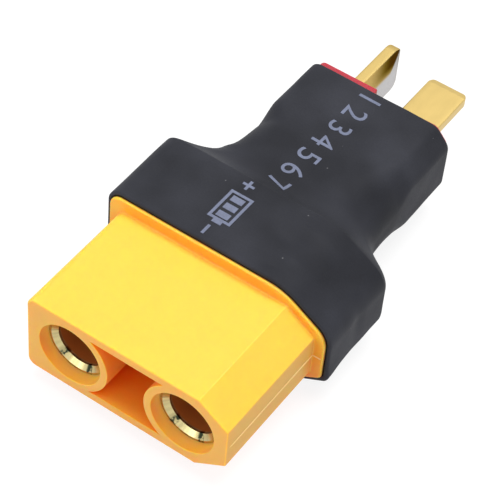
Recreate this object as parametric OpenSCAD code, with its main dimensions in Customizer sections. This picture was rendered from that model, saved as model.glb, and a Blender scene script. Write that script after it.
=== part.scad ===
// Battery connector adapter: a two-socket housing joined to a two-blade plug under one shrunk tube.
// Built along +Y from the socket face to the blade tips, +X to the chamfered side, +Z up.
// The whole part is then moved so that its box is centred in X and Y and stands on Z = 0.

/* [Socket contacts] */
// Distance between the two contact centres
contact_pitch = 10.9; // [10:0.1:13]
// Inner radius of a contact, which takes the mating pin
contact_bore_r = 2.25; // [2:0.05:2.4]
// Wall of the contact barrel
contact_wall = 0.6; // [0.5:0.05:0.6]
// Depth of the contact bore
contact_bore_depth = 9.6; // [6:0.2:12]
// Depth of the contact's front edge below the housing face
contact_recess = 1.1; // [0.6:0.1:2]
// Cone at the mouth of the contact bore
contact_lead_in = 0.4; // [0.1:0.05:0.45]
// Step of the retaining collar beyond the barrel
collar_step = 0.25; // [0.1:0.05:0.4]
// Length of the retaining collar
collar_len = 1.2; // [0.6:0.1:2]
// Inner radius of the solder cup
cup_bore_r = 1.85; // [1.5:0.05:2]
// Wall of the solder cup
cup_wall = 0.45; // [0.3:0.05:0.5]
// Depth of the solder cup
cup_depth = 3.6; // [2:0.2:4.6]
// Reach of the solder cup beyond the back of the housing
cup_reach = 0.8; // [0.4:0.1:1.2]

/* [Socket housing] */
// Gap round the contact in the mouth of a socket
socket_mouth_gap = 0.15; // [0.05:0.05:0.3]
// Wall of a socket tube towards the middle cavity
socket_wall = 0.7; // [0.5:0.05:1]
// Plastic between a socket and the outer side
side_wall = 1.2; // [1.2:0.05:1.8]
// Plastic between a socket and the top or bottom
top_wall = 1.0; // [1:0.05:1.6]
// Skin above and below the middle cavity
cavity_skin = 0.85; // [0.6:0.05:1]
// Depth of the middle cavity
cavity_depth = 9.5; // [5:0.5:11]
// Length of the plug-in part of the housing
body_len = 11.8; // [11:0.2:16]
// Width of the two keyed chamfers
body_chamfer_w = 2.8; // [2:0.05:2.9]
// Height of the two keyed chamfers
body_chamfer_h = 1.9; // [1.4:0.05:2]
// Rounding at both ends of the keyed chamfers
body_edge_r = 0.2; // [0.1:0.05:0.5]
// Radius of the two plain corners
body_corner_r = 0.8; // [0.4:0.1:1.2]
// Step from the plug-in part out to the flange, at the sides
flange_step_w = 0.95; // [0.6:0.05:1.6]
// Step from the plug-in part out to the flange, above and below
flange_step_h = 1.15; // [0.6:0.05:1.6]
// Width of the two keyed chamfers of the flange and rear body
flange_chamfer_w = 4.35; // [3.8:0.05:4.8]
// Height of the two keyed chamfers of the flange and rear body
flange_chamfer_h = 2.8; // [2.4:0.05:3.2]
// Rounding from the flange's top or bottom into a keyed chamfer
flange_top_round = 5.0; // [1:0.1:5.2]
// Rounding from a keyed chamfer into the flange's side
flange_side_round = 2.0; // [0.5:0.1:2.2]
// Length of the rear body behind the flange face
rear_len = 8.2; // [6:0.2:12]

/* [Blade plug] */
// Width of the plug housing
plug_w = 13.5; // [12.6:0.1:15]
// Height of the plug housing
plug_h = 6.95; // [6.6:0.05:8]
// Length of the plug housing
plug_len = 6.7; // [5:0.1:9]
// Width of the plug's two keyed chamfers
plug_chamfer_w = 1.2; // [0.6:0.1:1.6]
// Height of the plug's two keyed chamfers
plug_chamfer_h = 1.3; // [0.6:0.1:1.6]
// Rounding at both ends of the plug's keyed chamfers
plug_edge_r = 0.8; // [0.2:0.1:1]
// Radius of the plug's two plain corners
plug_corner_r = 0.6; // [0.3:0.1:1.2]
// Depth of the keyed side's face below the raised face at the upright blade
face_step = 0.55; // [0.1:0.05:1]
// Margin of the raised face beside the upright blade
face_margin = 1.8; // [0.5:0.1:2.4]

/* [Blades] */
// Thickness of both blades
blade_t = 1.05; // [0.8:0.05:1.2]
// Height of the upright blade
upright_h = 5.0; // [4:0.1:5.6]
// Place of the upright blade from the middle, towards the plain side
upright_x = 3.2; // [2.8:0.1:3.6]
// Width of the flat blade
flat_w = 3.85; // [3:0.05:4.4]
// Place of the flat blade from the middle, towards the keyed side
flat_x = 2.6; // [2.4:0.05:3]
// Length of the blades in front of the plug's face
blade_reach = 7.4; // [6:0.2:10]
// Corner radius at the tip of the upright blade
upright_tip_r = 1.5; // [0.6:0.1:1.8]
// Corner radius at the tip of the flat blade
flat_tip_r = 0.9; // [0.6:0.1:1.4]
// Lead-in slope along the tip of a blade, its length
tip_lead = 0.8; // [0.4:0.1:1.2]
// Lead-in slope along the tip of a blade, its depth on each face
tip_lead_depth = 0.18; // [0.1:0.02:0.3]
// Width of the solder tab behind a blade
tab_w = 3.0; // [2.4:0.1:3.4]
// Length of the solder tab behind the plug housing
tab_len = 3.6; // [2.6:0.1:4.4]

/* [Links] */
// Radius of the bare wire between a cup and a tab
wire_r = 0.8; // [0.6:0.05:1]
// Solder round the wire on a tab
bead_cover = 0.35; // [0.15:0.05:0.45]
// Film of solder between the wire and a tab
solder_film = 0.05; // [0.02:0.01:0.1]
// Length of the wire's ends inside the solder
wire_grip = 0.6; // [0.4:0.1:0.8]

/* [Shrunk tube] */
// Wall of the shrunk tube
tube_wall = 0.4; // [0.3:0.05:0.7]
// Clearance between the tube and the two housings
tube_fit = 0.02; // [0.01:0.01:0.05]
// Distance of the tube's front edge behind the flange face
tube_setback = 0.3; // [0.1:0.1:1]
// Length of the plug's face that the tube leaves bare
plug_proud = 0.8; // [0.1:0.05:1]
// Slant of the tube's plug end across its width
end_slant = 0.15; // [0:0.05:0.3]
// Free length between the two housings
neck_len = 10.6; // [9.2:0.2:14]
// Place of the narrowest section behind the socket housing
neck_place = 8.2; // [6:0.1:9]
// Room between the links and the tube, at the sides
neck_room_w = 1.2; // [0.05:0.05:1.4]
// Room between the links and the tube, above and below
neck_room_h = 1.1; // [0.7:0.05:1.3]
// Corner radius of the narrowest section
neck_round = 3.0; // [1.6:0.1:3.1]
// Extra rounding of the plain corners over the shoulder
shoulder_round = 1.0; // [0:0.1:1.4]

/* [Hidden] */
round_fn = 96;
eps = 0.01;

contact_x = contact_pitch / 2;
contact_r = contact_bore_r + contact_wall;
collar_r = contact_r + collar_step;
cup_r = cup_bore_r + cup_wall;
mouth_r = contact_r + socket_mouth_gap;
socket_tube_r = mouth_r + socket_wall;

body_w = 2 * (contact_x + mouth_r + side_wall);
body_h = 2 * (mouth_r + top_wall);
rear_w = body_w + 2 * flange_step_w;
rear_h = body_h + 2 * flange_step_h;
rear_corner_r = body_corner_r + 0.3;

flange_y = body_len;
rear_y = body_len + rear_len;
cup_end_y = rear_y + cup_reach;
cup_floor_y = cup_end_y - cup_depth;
collar_y = contact_recess + contact_bore_depth + 0.4;

plug_back_y = rear_y + neck_len;
plug_face_y = plug_back_y + plug_len;
tip_y = plug_face_y + blade_reach;
tab_y = plug_back_y - tab_len;
bead_y = tab_y + 0.2;
bead_end_y = plug_back_y - 0.4;

// Centre of the wire where it lies on each tab.
upright_wire_x = -(upright_x + blade_t / 2 + wire_r + solder_film);
flat_wire_z = blade_t / 2 + wire_r + solder_film;
bead_r = wire_r + bead_cover;

tube_front_y = flange_y + tube_setback;
tube_end_y = plug_face_y - plug_proud;
neck_y = rear_y + neck_place;
neck_half_w = max(bead_r - upright_wire_x, flat_x + max(tab_w / 2, bead_r)) + neck_room_w;
neck_half_h = max(flat_wire_z + bead_r, tab_w / 2) + neck_room_h;
arc_steps = 4;

rest_z = rear_h / 2 + tube_fit + tube_wall;

// Extrudes an X-Z profile along +Y.
module along_y(from_y, to_y) {
    translate([0, from_y, 0])
        rotate([90, 0, 0])
            mirror([0, 0, 1])
                linear_extrude(to_y - from_y)
                    children();
}

// Turns a list of [radius, place] points about the Y axis.
module turned_y(points) {
    rotate([-90, 0, 0])
        rotate_extrude($fn = round_fn)
            polygon(points);
}

module rod_y(x, z, from_y, to_y, r) {
    translate([x, from_y, z])
        rotate([-90, 0, 0])
            cylinder(h = to_y - from_y, r = r, $fn = round_fn);
}

// A round rod between two points.
module rod_between(a, b, r) {
    run = b - a;
    reach = norm(run);
    translate(a)
        rotate([0, acos(run[2] / reach), atan2(run[1], run[0])])
            cylinder(h = reach, r = r, $fn = round_fn);
}

// Keyed outline: two chamfers with rounded ends on the +X side and two round corners on the -X side.
module keyed_profile(w, h, chamfer_w, chamfer_h, top_r, side_r, corner_r) {
    slope = atan2(chamfer_h, chamfer_w);
    down = [cos(slope), -sin(slope)];
    top_t = top_r * tan(slope / 2);
    side_t = side_r * tan(45 - slope / 2);
    upper_half = [
        [-w / 2 + corner_r, h / 2],
        [w / 2 - chamfer_w - top_t, h / 2],
        [w / 2 - chamfer_w, h / 2] + top_t * down,
        [w / 2, h / 2 - chamfer_h] - side_t * down,
        [w / 2, h / 2 - chamfer_h - side_t]
    ];
    polygon(concat([for (p = upper_half) [p[0], -p[1]]], [for (i = [4 : -1 : 0]) upper_half[i]]));
    translate([-w / 2, -h / 2 + corner_r])
        square([corner_r + eps, h - 2 * corner_r]);
    for (side = [-1, 1]) {
        translate([-w / 2 + corner_r, side * (h / 2 - corner_r)])
            circle(r = corner_r, $fn = round_fn);
        translate([w / 2 - chamfer_w - top_t, side * (h / 2 - top_r)])
            circle(r = top_r, $fn = round_fn);
        translate([w / 2 - side_r, side * (h / 2 - chamfer_h - side_t)])
            circle(r = side_r, $fn = round_fn);
    }
}

// The space between the two socket tubes, open to the front.
module middle_cavity_profile() {
    cavity_h = body_h - 2 * cavity_skin;
    difference() {
        translate([-contact_x, -cavity_h / 2])
            square([contact_pitch, cavity_h]);
        for (side = [-1, 1])
            translate([side * contact_x, 0])
                circle(r = socket_tube_r, $fn = round_fn);
    }
}

// The seat that one contact fills, from its mouth to the back of the housing.
module contact_seat() {
    turned_y([
        [0, -1],
        [mouth_r, -1],
        [mouth_r, contact_recess],
        [contact_r, contact_recess],
        [contact_r, collar_y],
        [collar_r, collar_y],
        [collar_r, collar_y + collar_len],
        [cup_r, collar_y + collar_len],
        [cup_r, rear_y + 1],
        [0, rear_y + 1]
    ]);
}

module socket_housing() {
    color("gold")
        difference() {
            union() {
                along_y(0, flange_y + eps)
                    keyed_profile(body_w, body_h, body_chamfer_w, body_chamfer_h,
                                  body_edge_r, body_edge_r, body_corner_r);
                along_y(flange_y, rear_y)
                    keyed_profile(rear_w, rear_h, flange_chamfer_w, flange_chamfer_h,
                                  flange_top_round, flange_side_round, rear_corner_r);
            }
            along_y(-1, cavity_depth)
                middle_cavity_profile();
            for (side = [-1, 1])
                translate([side * contact_x, 0, 0])
                    contact_seat();
        }
}

// A turned contact: a barrel with a blind bore, a retaining collar and a solder cup.
module contact(x) {
    bore_end_y = contact_recess + contact_bore_depth;
    color("goldenrod")
        translate([x, 0, 0])
            turned_y([
                [contact_bore_r + contact_lead_in, contact_recess],
                [contact_r, contact_recess],
                [contact_r, collar_y],
                [collar_r, collar_y],
                [collar_r, collar_y + collar_len],
                [cup_r, collar_y + collar_len],
                [cup_r, cup_end_y],
                [cup_bore_r, cup_end_y],
                [cup_bore_r, cup_floor_y],
                [0, cup_floor_y],
                [0, bore_end_y],
                [contact_bore_r, bore_end_y],
                [contact_bore_r, contact_recess + contact_lead_in]
            ]);
}

// A short bare wire from a filled solder cup to the solder bead on a tab.
module link(cup_x, bead_x, bead_z) {
    rod_y(cup_x, 0, cup_floor_y, cup_end_y, cup_bore_r);
    rod_between([cup_x, cup_end_y - wire_grip, 0], [bead_x, bead_y + wire_grip, bead_z], wire_r);
    rod_y(bead_x, bead_z, bead_y, bead_end_y, bead_r);
}

module link_left() {
    color("silver")
        difference() {
            link(-contact_x, upright_wire_x, 0);
            upright_tab();
        }
}

module link_right() {
    color("silver")
        difference() {
            link(contact_x, flat_x, flat_wire_z);
            flat_tab();
        }
}

// Side view of a blade: a rounded tip, a shank of full width and a narrower tab, laid in X-Y.
module blade_outline(width, tip_r) {
    union() {
        translate([-width / 2, plug_back_y])
            square([width, tip_y - tip_r - plug_back_y]);
        translate([-width / 2 + tip_r, plug_back_y])
            square([width - 2 * tip_r, tip_y - plug_back_y]);
        for (side = [-1, 1])
            translate([side * (width / 2 - tip_r), tip_y - tip_r])
                circle(r = tip_r, $fn = round_fn);
        translate([-tab_w / 2, tab_y])
            square([tab_w, tab_len + eps]);
    }
}

// Edge view of a blade, with the lead-in slopes at its tip, laid in Z-Y.
module blade_edge_outline() {
    lead_t = blade_t / 2 - tip_lead_depth;
    polygon([
        [-blade_t / 2, tab_y],
        [blade_t / 2, tab_y],
        [blade_t / 2, tip_y - tip_lead],
        [lead_t, tip_y],
        [-lead_t, tip_y],
        [-blade_t / 2, tip_y - tip_lead]
    ]);
}

module blade_stock(width, tip_r) {
    intersection() {
        translate([0, 0, -blade_t / 2])
            linear_extrude(blade_t)
                blade_outline(width, tip_r);
        rotate([0, -90, 0])
            translate([0, 0, -width / 2 - eps])
                linear_extrude(width + 2 * eps)
                    blade_edge_outline();
    }
}

module blade_upright() {
    color("gold")
        translate([-upright_x, 0, 0])
            rotate([0, 90, 0])
                blade_stock(upright_h, upright_tip_r);
}

module blade_flat() {
    color("gold")
        translate([flat_x, 0, 0])
            blade_stock(flat_w, flat_tip_r);
}

// The parts of the blades that the solder beads wrap.
module upright_tab() {
    translate([-upright_x - blade_t / 2, tab_y, -tab_w / 2])
        cube([blade_t, tab_len, tab_w]);
}

module flat_tab() {
    translate([flat_x - tab_w / 2, tab_y, -blade_t / 2])
        cube([tab_w, tab_len, blade_t]);
}

module plug_housing() {
    step_x = -upright_x + blade_t / 2 + face_margin;
    color("firebrick")
        difference() {
            along_y(plug_back_y, plug_face_y)
                keyed_profile(plug_w, plug_h, plug_chamfer_w, plug_chamfer_h,
                              plug_edge_r, plug_edge_r, plug_corner_r);
            translate([-upright_x - blade_t / 2, plug_back_y - 1, -upright_h / 2])
                cube([blade_t, plug_len + 2, upright_h]);
            translate([flat_x - flat_w / 2, plug_back_y - 1, -blade_t / 2])
                cube([flat_w, plug_len + 2, blade_t]);
            translate([step_x, plug_face_y - face_step, -plug_h])
                cube([plug_w, face_step + 1, 2 * plug_h]);
        }
}

function mix(a, b, t) = a + (b - a) * t;
function smooth(t) = t * t * (3 - 2 * t);

function arc(centre, r, from, to) =
    [for (i = [0 : arc_steps]) let (a = mix(from, to, i / arc_steps)) centre + r * [sin(a), cos(a)]];

// A keyed corner with its rounded chamfer, as offsets from the corner of the section's box.
function keyed_corner(chamfer_w, chamfer_h, top_r, side_r, grow) =
    let (slope = atan2(chamfer_h, chamfer_w))
    concat(arc([-chamfer_w - top_r * tan(slope / 2), -top_r], top_r + grow, 0, slope),
           arc([-side_r, -chamfer_h - side_r * tan(45 - slope / 2)], side_r + grow, slope, 90));

// A plain round corner with as many points.
function round_corner(r, grow) =
    concat(arc([-r, -r], r + grow, 0, 42), arc([-r, -r], r + grow, 48, 90));

// A whole section from its half sizes, its keyed corner and its plain corner.
function tube_ring(y, slant, half_w, half_h, keyed, plain) =
    let (last = len(keyed) - 1,
         outline = concat(
            [for (p = keyed) [half_w + p[0], half_h + p[1]]],
            [for (i = [last : -1 : 0]) [half_w + keyed[i][0], -half_h - keyed[i][1]]],
            [for (p = plain) [-half_w - p[0], -half_h - p[1]]],
            [for (i = [last : -1 : 0]) [-half_w - plain[i][0], half_h + plain[i][1]]]))
    [for (p = outline) [p[0], y - slant * (p[0] / half_w + 1) / 2, p[1]]];

// How far the tube has drawn in behind the socket housing: slowly, quickly, then slowly again.
function drawn_in(t) = 1 - pow(1 - pow(t, 2), 9);
function sunk_in(t) = 1 - pow(1 - pow(t, 1.2), 8);
// How much of the extra rounding the plain corners have: all of it in the middle of the shoulder.
function rounded_in(t) = sin(180 * min(t / 0.45, 1));

// The rings of the tube's inner (grow = 0) or outer (grow = tube_wall) surface.
function tube_rings(grow) =
    let (g = grow + tube_fit,
         rear_keyed = keyed_corner(flange_chamfer_w, flange_chamfer_h, flange_top_round, flange_side_round, g),
         rear_plain = round_corner(rear_corner_r, g),
         neck_corner = round_corner(neck_round, g),
         plug_keyed = keyed_corner(plug_chamfer_w, plug_chamfer_h, plug_edge_r, plug_edge_r, g),
         plug_plain = round_corner(plug_corner_r, g),
         shoulder_steps = 16,
         rise_steps = 8)
    concat(
        [tube_ring(tube_front_y, 0, rear_w / 2, rear_h / 2, rear_keyed, rear_plain)],
        [for (i = [0 : shoulder_steps])
            let (t = pow(i / shoulder_steps, 1.4))
            tube_ring(mix(rear_y, neck_y, t), 0,
                      mix(rear_w / 2, neck_half_w, drawn_in(t)), mix(rear_h / 2, neck_half_h, sunk_in(t)),
                      mix(rear_keyed, neck_corner, t),
                      mix(rear_plain, neck_corner, t) + shoulder_round * rounded_in(t) * round_corner(1, 0))],
        [for (i = [1 : rise_steps])
            let (t = i / rise_steps, s = smooth(t))
            tube_ring(mix(neck_y, plug_back_y, t), 0,
                      mix(neck_half_w, plug_w / 2, s), mix(neck_half_h, plug_h / 2, s),
                      mix(neck_corner, plug_keyed, s), mix(neck_corner, plug_plain, s))],
        [tube_ring(tube_end_y, end_slant, plug_w / 2, plug_h / 2, plug_keyed, plug_plain)]);

// Two triangles for each quad between ring r and the next, over n points a ring.
function band(n, first, second) = [
    for (i = [0 : n - 1])
        let (j = (i + 1) % n)
        for (face = [[first + i, second + i, second + j], [first + i, second + j, first + j]])
            face
];

// A lofted skin of even wall between an outer and an inner list of rings.
module lofted_skin(outer, inner) {
    n = len(outer[0]);
    rings = len(outer);
    outer_faces = [for (r = [0 : rings - 2]) for (f = band(n, r * n, (r + 1) * n)) f];
    inner_faces = [for (r = [0 : rings - 2]) for (f = band(n, (rings + r + 1) * n, (rings + r) * n)) f];
    front_faces = band(n, rings * n, 0);
    end_faces = band(n, (rings - 1) * n, (2 * rings - 1) * n);
    polyhedron(points = concat([for (ring = outer) each ring], [for (ring = inner) each ring]),
               faces = concat(outer_faces, inner_faces, front_faces, end_faces),
               convexity = 8);
}

module shrink_tube() {
    color("dimgray")
        lofted_skin(tube_rings(tube_wall), tube_rings(0));
}

// Moves the part from the socket face to the middle of its box, standing on Z = 0.
module placed() {
    translate([0, -tip_y / 2, rest_z])
        children();
}

placed() socket_housing();
placed() contact(-contact_x);  // contact_left
placed() contact(contact_x);  // contact_right
placed() link_left();
placed() link_right();
placed() blade_upright();
placed() blade_flat();
placed() plug_housing();
placed() shrink_tube();
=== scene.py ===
import math

import bmesh
import bpy
import numpy as np
from bpy.props import FloatProperty, FloatVectorProperty, IntProperty, PointerProperty, StringProperty
from mathutils import Matrix, Vector


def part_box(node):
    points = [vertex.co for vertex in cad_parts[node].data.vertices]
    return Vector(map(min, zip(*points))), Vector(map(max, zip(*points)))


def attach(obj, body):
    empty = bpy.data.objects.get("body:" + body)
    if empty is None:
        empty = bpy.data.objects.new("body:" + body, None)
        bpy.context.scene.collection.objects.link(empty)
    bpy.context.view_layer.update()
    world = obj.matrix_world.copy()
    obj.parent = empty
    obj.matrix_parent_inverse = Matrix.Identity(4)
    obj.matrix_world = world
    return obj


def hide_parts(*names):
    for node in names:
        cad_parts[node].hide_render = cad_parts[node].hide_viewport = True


bl_info = {
    "name": "Battery connector adapter looks",
    "version": (1, 0, 0),
    "blender": (4, 5, 0),
    "location": "3D View > Sidebar > Adapter",
    "description": "Dresses the packed battery connector adapter: plastics, contacts, blades, shrunk tube and print",
    "category": "Object",
}

MM = 0.001
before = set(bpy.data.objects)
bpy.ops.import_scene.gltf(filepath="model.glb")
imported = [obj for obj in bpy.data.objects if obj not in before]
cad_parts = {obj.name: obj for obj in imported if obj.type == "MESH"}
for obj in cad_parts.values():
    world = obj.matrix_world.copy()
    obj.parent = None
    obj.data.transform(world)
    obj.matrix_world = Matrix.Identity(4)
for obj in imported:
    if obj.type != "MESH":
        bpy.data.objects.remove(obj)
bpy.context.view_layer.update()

# The frame's own measures, in millimetres. Y runs from the socket face to the blade tips.
SOCKET_LOW, SOCKET_HIGH = [[c / MM for c in corner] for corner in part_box("socket_housing")]
PLUG_LOW, PLUG_HIGH = [[c / MM for c in corner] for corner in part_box("plug_housing")]
TUBE_LOW, TUBE_HIGH = [[c / MM for c in corner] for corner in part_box("shrink_tube")]
MIDDLE_Z = (SOCKET_LOW[2] + SOCKET_HIGH[2]) / 2
FACE_Y = SOCKET_LOW[1]
REAR_Y = SOCKET_HIGH[1]
PLUG_BACK_Y = PLUG_LOW[1]
TUBE_FRONT_Y = TUBE_LOW[1]
TUBE_END_Y = TUBE_HIGH[1]
FLANGE_Y = TUBE_FRONT_Y - 0.3
TIP_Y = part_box("blade_flat")[1][1] / MM
RIM_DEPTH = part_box("contact_left")[0][1] / MM - FACE_Y
BODY_HALF_WIDTH = 9.65
SOCKET_X = (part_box("contact_right")[0][0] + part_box("contact_right")[1][0]) / 2 / MM
SOCKET_RING = 3.8
FLANGE_Y = TUBE_FRONT_Y - 0.3
KEY_WIDTH, KEY_HEIGHT = 4.35, 2.8
TOP_ROUND, SIDE_ROUND, LOWER_ROUND = 5.0, 2.0, 0.4


# Settings

class AdapterPlasticSettings(bpy.types.PropertyGroup):
    yellow: FloatVectorProperty(name="Yellow", description="Colour of the socket moulding", subtype="COLOR",
                                size=3, min=0, max=1, default=(1.0, 0.565, 0.050))
    # Painted shade: the deep orange the hollows turn to, by an ambient occlusion mask.
    hollow_shade_orange: FloatVectorProperty(name="Deep yellow", description="Colour of the socket moulding in its hollows",
                                     subtype="COLOR", size=3, min=0, max=1, default=(1.0, 0.22, 0.016))
    # Painted shade: the tan of the front face and the sides, which the overhead lamp lights less.
    face_shade_tan: FloatVectorProperty(name="Face tan", description="Colour of the matt faces that look forward",
                                  subtype="COLOR", size=3, min=0, max=1, default=(0.70, 0.385, 0.068))
    # Painted shade and bounce light: the deeper orange of the flange's front behind the plug-in part.
    shoulder_bounce_orange: FloatVectorProperty(name="Shoulder orange", description="Colour of the flange's front",
                                         subtype="COLOR", size=3, min=0, max=1, default=(1.0, 0.43, 0.03))
    red: FloatVectorProperty(name="Red", description="Colour of the plug moulding", subtype="COLOR",
                             size=3, min=0, max=1, default=(0.42, 0.014, 0.032))
    edge_radius: FloatProperty(name="Edge radius", description="Rounding of the moulded edges, in millimetres",
                               default=0.16, min=0.02, max=0.4)
    ridge_yellow: FloatVectorProperty(name="Ridge yellow", description="Colour of the parting ridge", subtype="COLOR",
                                      size=3, min=0, max=1, default=(0.95, 0.64, 0.27))
    ridge_radius: FloatProperty(name="Parting ridge", description="Half width of the parting ridge, in millimetres",
                                default=0.06, min=0.02, max=0.2)
    crease_radius: FloatProperty(name="Crease radius", description="Rounding of the long creases, in millimetres",
                                 default=0.55, min=0.1, max=0.7)
    opening_radius: FloatProperty(name="Opening radius", description="Rounding of the openings in the face, in mm",
                                  default=0.07, min=0.02, max=0.12)


class AdapterMetalSettings(bpy.types.PropertyGroup):
    gold: FloatVectorProperty(name="Gold", description="Colour of the plated contacts", subtype="COLOR",
                              size=3, min=0, max=1, default=(0.67, 0.57, 0.28))
    # Painted reflection: the dim olive bands round a contact's rim.
    dim_reflection_olive: FloatVectorProperty(name="Band olive", description="Colour of the dull bands on a contact's rim",
                                    subtype="COLOR", size=3, min=0, max=1, default=(0.24, 0.21, 0.10))
    # Painted reflection: the two dark spots on a contact's rim.
    dark_reflection_green: FloatVectorProperty(name="Mark green", description="Colour of the dark marks on a contact's rim",
                                    subtype="COLOR", size=3, min=0, max=1, default=(0.035, 0.045, 0.025))
    blade_gold: FloatVectorProperty(name="Blade gold", description="Colour of the plated blades", subtype="COLOR",
                                    size=3, min=0, max=1, default=(0.64, 0.47, 0.17))
    # Painted shade: the dark brown deep in the contact bores.
    bore_shade_brown: FloatVectorProperty(name="Bore copper", description="Colour deep in the contact bores",
                                     subtype="COLOR", size=3, min=0, max=1, default=(0.43, 0.135, 0.032))
    # Painted reflection: the dark brown on the upright blade's side near its tip.
    blade_dark_reflection: FloatVectorProperty(name="Blade brown", description="Darkest tone at the upright blade's tip",
                                     subtype="COLOR", size=3, min=0, max=1, default=(0.07, 0.045, 0.012))
    # Painted reflection: the pale grey on the upright blade's side below its middle.
    blade_pale_reflection: FloatVectorProperty(name="Blade grey", description="Pale tone of the upright blade's lower half",
                                    subtype="COLOR", size=3, min=0, max=1, default=(0.61, 0.62, 0.65))
    blade_thickness: FloatProperty(name="Blade thickness", description="Thickness of both blades, in millimetres",
                                   default=1.05, min=0.8, max=1.2)
    upright_height: FloatProperty(name="Upright height", description="Height of the upright blade, in millimetres",
                                  default=5.0, min=4, max=5.6)
    upright_round: FloatProperty(name="Upright corner", description="Corner radius at the upright blade's tip, in mm",
                                 default=1.5, min=0.6, max=1.8)
    flat_width: FloatProperty(name="Flat width", description="Width of the flat blade, in millimetres",
                              default=3.85, min=3, max=4.4)
    flat_round: FloatProperty(name="Flat corner", description="Corner radius at the flat blade's tip, in millimetres",
                              default=0.9, min=0.6, max=1.4)
    lead_length: FloatProperty(name="Lead-in length", description="Length of the slope at a tip, in millimetres",
                               default=0.8, min=0.4, max=1.2)
    lead_depth: FloatProperty(name="Lead-in depth", description="Depth of that slope on each face, in millimetres",
                              default=0.12, min=0.05, max=0.3)
    nose_length: FloatProperty(name="Nose length", description="Length of the round nose, in millimetres",
                               default=0.42, min=0.1, max=0.6)
    tab_width: FloatProperty(name="Tab width", description="Width of the solder tab behind a blade, in millimetres",
                             default=3.0, min=2, max=4)


class AdapterTubeSettings(bpy.types.PropertyGroup):
    black: FloatVectorProperty(name="Black", description="Colour of the shrunk tube", subtype="COLOR",
                               size=3, min=0, max=1, default=(0.0255, 0.0265, 0.033))
    wall: FloatProperty(name="Wall", description="Wall of the tube, in millimetres", default=0.4, min=0.2, max=1)
    neck_half_width: FloatProperty(name="Neck half width", description="Half the width inside the neck, in millimetres",
                                   default=6.925, min=6, max=8)
    neck_half_height: FloatProperty(name="Neck half height",
                                    description="Half the height inside the neck, in millimetres",
                                    default=3.625, min=3, max=4.5)
    neck_shift: FloatProperty(name="Neck shift", description="How far the neck sits towards +X, in millimetres",
                              default=-0.16, min=-0.4, max=0.4)
    neck_place: FloatProperty(name="Neck place", description="Narrowest section behind the socket moulding, in mm",
                              default=8.2, min=5, max=9)
    end_slant: FloatProperty(name="End slant", description="Slant of the plug end across the width, in millimetres",
                             default=0.15, min=0, max=0.4)
    lip_wave: FloatProperty(name="Lip wave", description="Unevenness of the two cut ends, in millimetres",
                            default=0.05, min=0, max=0.2)
    bump_height: FloatProperty(name="Bump height", description="Height of the soft bumps, as a share of the usual one",
                               default=1.7, min=0, max=2)
    rings: IntProperty(name="Rings", description="Rings along the outside", default=190, min=60, max=400)


class AdapterPrintSettings(bpy.types.PropertyGroup):
    ink: FloatVectorProperty(name="Ink", description="Colour of the print", subtype="COLOR",
                             size=3, min=0, max=1, default=(0.128, 0.146, 0.22))
    digits: StringProperty(name="Digits", description="Plain numbers printed along the tube", default="1234567")
    digit_height: FloatProperty(name="Digit height", description="Height of a digit, in millimetres",
                                default=2.12, min=1, max=3)
    ink_thickness: FloatProperty(name="Ink thickness", description="Thickness of the ink, in millimetres",
                                 default=0.05, min=0.02, max=0.1)


class AdapterStageSettings(bpy.types.PropertyGroup):
    target: FloatVectorProperty(name="Target", description="Point the camera looks at, in millimetres",
                                size=3, default=(-0.924, -3.921, 4.784))
    azimuth: FloatProperty(name="Azimuth", description="Camera azimuth, in degrees", default=30.55)
    elevation: FloatProperty(name="Elevation", description="Camera elevation, in degrees", default=48.35)
    roll: FloatProperty(name="Roll", description="Camera roll, in degrees", default=5.72)
    distance: FloatProperty(name="Distance", description="Camera distance, in millimetres", default=172.8)
    lens: FloatProperty(name="Lens", description="Focal length, in millimetres", default=150.0, unit="CAMERA")
    overhead: FloatProperty(name="Overhead lamp", description="Power of the overhead lamp, in watts", default=1.72, min=0)
    front: FloatProperty(name="Front lamp", description="Power of the low front lamp, in watts", default=0.6, min=0)
    world: FloatProperty(name="World", description="Light of the white surroundings on the object", default=0.62, min=0)


# Shader groups

def new_group(name, inputs, outputs):
    group = bpy.data.node_groups.new(name, "ShaderNodeTree")
    for socket_name, kind, value in inputs:
        socket = group.interface.new_socket(socket_name, in_out="INPUT", socket_type=kind)
        if value is not None:
            socket.default_value = value
    for socket_name, kind in outputs:
        group.interface.new_socket(socket_name, in_out="OUTPUT", socket_type=kind)
    return group, group.nodes.new("NodeGroupInput"), group.nodes.new("NodeGroupOutput")


def math_node(nodes, links, operation, first, second=None, third=None):
    node = nodes.new("ShaderNodeMath")
    node.operation = operation
    for index, value in enumerate((first, second, third)):
        if value is None:
            continue
        if isinstance(value, (int, float)):
            node.inputs[index].default_value = value
        else:
            links.new(value, node.inputs[index])
    return node.outputs[0]


def colour_mix(nodes, links, factor, first, second, blend="MIX"):
    node = nodes.new("ShaderNodeMix")
    node.data_type = "RGBA"
    node.blend_type = blend
    for socket, value in ((node.inputs["Factor"], factor), (node.inputs[6], first), (node.inputs[7], second)):
        if isinstance(value, (int, float)):
            socket.default_value = value
        elif isinstance(value, tuple):
            socket.default_value = (*value[:3], 1)
        else:
            links.new(value, socket)
    return node.outputs[2]


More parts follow.
